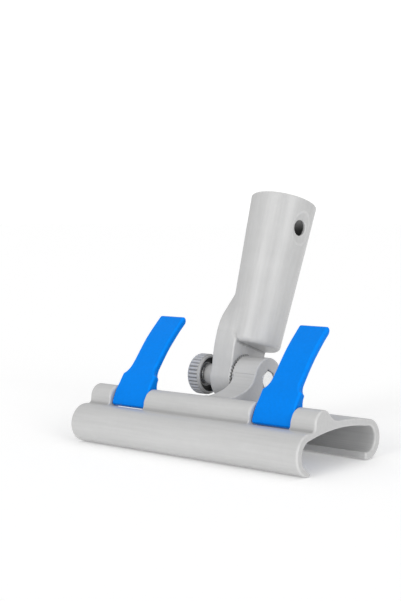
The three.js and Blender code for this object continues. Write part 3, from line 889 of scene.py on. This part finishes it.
LIGHT_GREY = (0.52, 0.52, 0.518)
STREAK_LONG = 25                # times as long as wide
satin = {"roughness": 0.36, "grain_scale": 1500.0, "wear": 1.0, "dust": 0.28}
clamp_grey = plastic("satin_grey_clamp", LIGHT_GREY, 0.5, **satin, streak_scale=(STREAK_LONG, 1, 1))
socket_grey = plastic("satin_grey_socket", LIGHT_GREY, 0.5, **satin, streak_scale=(1, 1, STREAK_LONG),
                      streak_turn=(-LEAN, 0, 0))
# The knob's plastic takes a strong painted highlight on its rib crests and strong painted shade in its
# grooves, with some wear and dust.
dark_grey = plastic("ribbed_grey_plastic", (0.45, 0.45, 0.45), 0.5, roughness=0.40, grain_scale=1700.0,
                    wear=1.6, dust=0.5)
# The levers' convex edges get a strong painted highlight, which stands in for the shine along them, with
# some wear.
blue = plastic("bright_blue_plastic", (0.0, 0.21, 0.79), 0.06, roughness=0.40, grain_scale=1500.0,
               wear=1.8, dust=0.15)
print("plastics:", [material.name for material in (clamp_grey, socket_grey, dark_grey, blue)])

# %% [markdown]
# ## Zinc plated steel
# Plating is bright but never a mirror: it has a fine matte crystal, faint marks drawn out along the
# bolt's axis, and a tint that drifts a little between cool and neutral.

# %% Zinc
zinc = bpy.data.materials.new("zinc_plated_steel")
zinc.use_nodes = True
tree = zinc.node_tree
shader = tree.nodes["Principled BSDF"]
shader.inputs["Metallic"].default_value = 1.0
crystal = noise(tree, 2400.0, 3.0)
drift = noise(tree, 180.0, 3.0)
scratch = noise(tree, 900.0, 2.0, (8, 1, 1))
tint = tree.nodes.new("ShaderNodeMix")
tint.data_type = "RGBA"
MIX_SHARE, MIX_COOL, MIX_NEUTRAL, MIX_RESULT = 0, 6, 7, 2      # a colour Mix node's own sockets
tint.inputs[MIX_COOL].default_value = (0.80, 0.81, 0.82, 1)
tint.inputs[MIX_NEUTRAL].default_value = (0.88, 0.88, 0.87, 1)
tree.links.new(spread(tree, drift, 0.35, 0.65, 0, 1), tint.inputs[MIX_SHARE])
tree.links.new(tint.outputs[MIX_RESULT], shader.inputs["Base Color"])
rough = combine(tree, "ADD", spread(tree, crystal, 0.3, 0.7, 0.2, 0.34),
                spread(tree, scratch, 0.35, 0.7, -0.04, 0.08))
tree.links.new(rough, shader.inputs["Roughness"])
bump(tree, shader, combine(tree, "ADD", crystal, scratch), 0.35, 0.00003)
print("zinc has", len(tree.nodes), "nodes")

# %% [markdown]
# ## Which piece wears what
# Only the two lever pins are kept as the mechanical model made them, because they are plain rods
# that sit inside the clamp. They get the zinc finish too.

# %% Assign materials
finishes = {clamp_grey: [clamp], socket_grey: [socket], blue: levers, dark_grey: [knob],
            zinc: [bolt, nut, washer]}
for material, wearers in finishes.items():
    for wearer in wearers:
        wearer.data.materials.append(material)
for node in ("lever_pin_left", "lever_pin_right"):
    slots = frame["nodes"][node].data.materials
    slots.clear()
    slots.append(zinc)
print({wearer.name: material.name for material, wearers in finishes.items() for wearer in wearers})

# %% [markdown]
# ## Camera
# A small telephoto view from a little above the table, looking at the clamp's front and right end.

# %% Camera
VIEW_AZIMUTH, VIEW_ELEVATION = math.radians(39.68), math.radians(3.86)
VIEW_ROLL = math.radians(-0.08)
VIEW_DISTANCE = 0.6442
LOOK_AT = Vector((0.00027, MIDDLE_Y * MM - 0.0179, 0.0851))
FOCAL_LENGTH, SENSOR = 70.51, 36    # mm, the sensor along the tall side

back = Vector((math.sin(VIEW_AZIMUTH) * math.cos(VIEW_ELEVATION),
               -math.cos(VIEW_AZIMUTH) * math.cos(VIEW_ELEVATION), math.sin(VIEW_ELEVATION)))
camera = bpy.data.objects.new("camera", bpy.data.cameras.new("camera"))
bpy.context.scene.collection.objects.link(camera)
camera.data.lens = FOCAL_LENGTH
camera.data.sensor_width = SENSOR
camera.data.clip_start = 0.01
camera.location = LOOK_AT + back * VIEW_DISTANCE
camera.rotation_mode = "QUATERNION"
camera.rotation_quaternion = (-back).to_track_quat("-Z", "Y") @ Quaternion((0, 0, 1), VIEW_ROLL)
bpy.context.scene.camera = camera
print("camera at", np.round(camera.location, 3), "m")

# %% [markdown]
# ## Floor and light
# A wide pale floor runs to the horizon and meets a pale sky, so no edge shows behind the object. The
# lights are suns with wide discs: near lamps would leave the far floor dark. One from straight ahead
# shapes the round parts, one from the right keeps the ends bright, and one above lifts the top edges.

# %% Floor
FLOOR_HALF = 60.0               # m
FLOOR_LOW = -0.0002             # m, a hair below the clamp's lips
FLOOR_GLOW = 0.16               # lifts the paper to the sky's white
floor_mesh = bpy.data.meshes.new("floor")
corners = [(sx * FLOOR_HALF, sy * FLOOR_HALF, FLOOR_LOW) for sx, sy in ((-1, -1), (1, -1), (1, 1), (-1, 1))]
floor_mesh.from_pydata(corners, [], [(0, 1, 2, 3)])
floor = bpy.data.objects.new("floor", floor_mesh)
bpy.context.scene.collection.objects.link(floor)
paper = bpy.data.materials.new("pale_paper")
paper.use_nodes = True
paper_shader = paper.node_tree.nodes["Principled BSDF"]
paper_shader.inputs["Base Color"].default_value = (0.97, 0.97, 0.97, 1)
paper_shader.inputs["Roughness"].default_value = 0.9
paper_shader.inputs["Specular IOR Level"].default_value = 0.1
paper_shader.inputs["Emission Color"].default_value = (1, 1, 1, 1)
paper_shader.inputs["Emission Strength"].default_value = FLOOR_GLOW
floor.data.materials.append(paper)
print("floor is", 2 * FLOOR_HALF, "m wide")

# %% Light
SKY_LIGHT, SKY_SEEN = 0.60, 1.1     # how bright the sky lights the object, and how bright it looks
bpy.context.scene.view_settings.view_transform = "Standard"
world = bpy.data.worlds.new("pale_sky")
bpy.context.scene.world = world
world.use_nodes = True
sky = world.node_tree
background = sky.nodes["Background"]
background.inputs["Color"].default_value = (1, 1, 1, 1)
seen = sky.nodes.new("ShaderNodeLightPath")
brightness = spread(sky, seen.outputs["Is Camera Ray"], 0, 1, SKY_LIGHT, SKY_SEEN)
sky.links.new(brightness, background.inputs["Strength"])


def soft_sun(name, direction, spread_angle, strength):
    """A sun with a wide disc, which lights the whole floor alike and throws a soft shadow."""
    lamp = bpy.data.lights.new(name, "SUN")
    lamp.angle = math.radians(spread_angle)
    lamp.energy = strength
    made = bpy.data.objects.new(name, lamp)
    bpy.context.scene.collection.objects.link(made)
    towards = Vector(direction).normalized()
    made.location = towards
    made.rotation_mode = "QUATERNION"
    made.rotation_quaternion = (-towards).to_track_quat("-Z", "Y")
    print(name, "is", spread_angle, "degrees wide")


soft_sun("key_light", (0.0, -1.0, 0.36), 26, 0.95)
soft_sun("right_light", (0.93, -0.36, 0.33), 24, 0.72)
soft_sun("top_light", (0.1, 0.3, 1.0), 60, 0.33)
